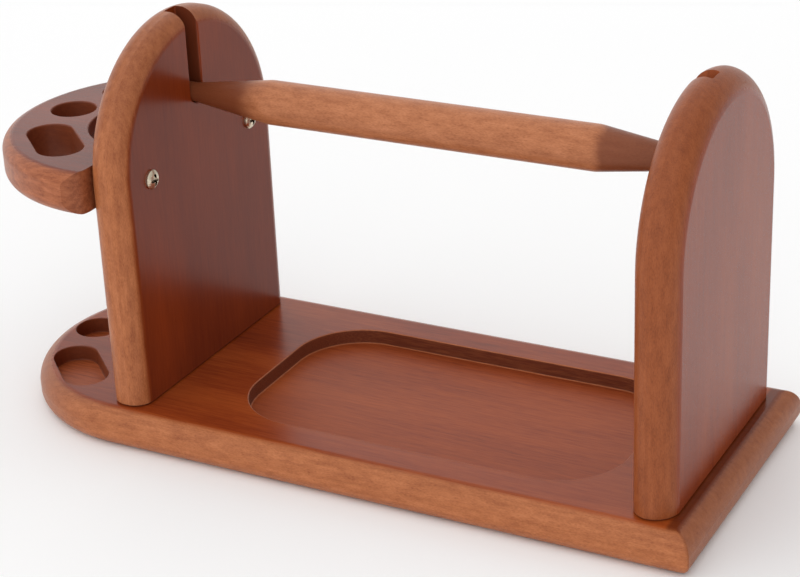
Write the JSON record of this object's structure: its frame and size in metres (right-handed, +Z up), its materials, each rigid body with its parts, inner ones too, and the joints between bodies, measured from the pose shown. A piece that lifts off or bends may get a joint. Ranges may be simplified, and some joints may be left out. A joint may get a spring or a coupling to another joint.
{
  "type": "tool storage caddy",
  "caption": "Wooden tool caddy: tray base with half-round end, arched uprights, lift-out rod for hanging pliers, and a side shelf with tool holes.",
  "frame": {"origin": "on the base's underside, midway between the uprights, below the middle of the rod", "axes": "+X along the length towards the plain end, +Y across the depth away from the viewer, +Z up"},
  "size_m": [0.3055, 0.1244, 0.1597],
  "materials": {
    "stained_wood": "red-brown stain under satin lacquer",
    "turned_wood": "red-brown stain under satin lacquer, turned",
    "brass_screw": "yellow plated",
    "steel_screw": "zinc plated"
  },
  "bodies": {
    "caddy": {"base_board": "stained_wood", "left_upright": "stained_wood", "right_upright": "stained_wood", "tool_shelf": "stained_wood", "shelf_screw_front": "brass_screw", "shelf_screw_rear": "brass_screw", "left_upright_screw_front": "steel_screw", "left_upright_screw_rear": "steel_screw", "right_upright_screw_front": "steel_screw", "right_upright_screw_rear": "steel_screw"},
    "rod": {"hanging_rod": "turned_wood"}
  },
  "joints": [
    {"name": "rod_lift", "type": "slide", "parent": "caddy", "child": "rod", "axis": [0, 0, 1], "range_m": [0, 0.042]}
  ]
}
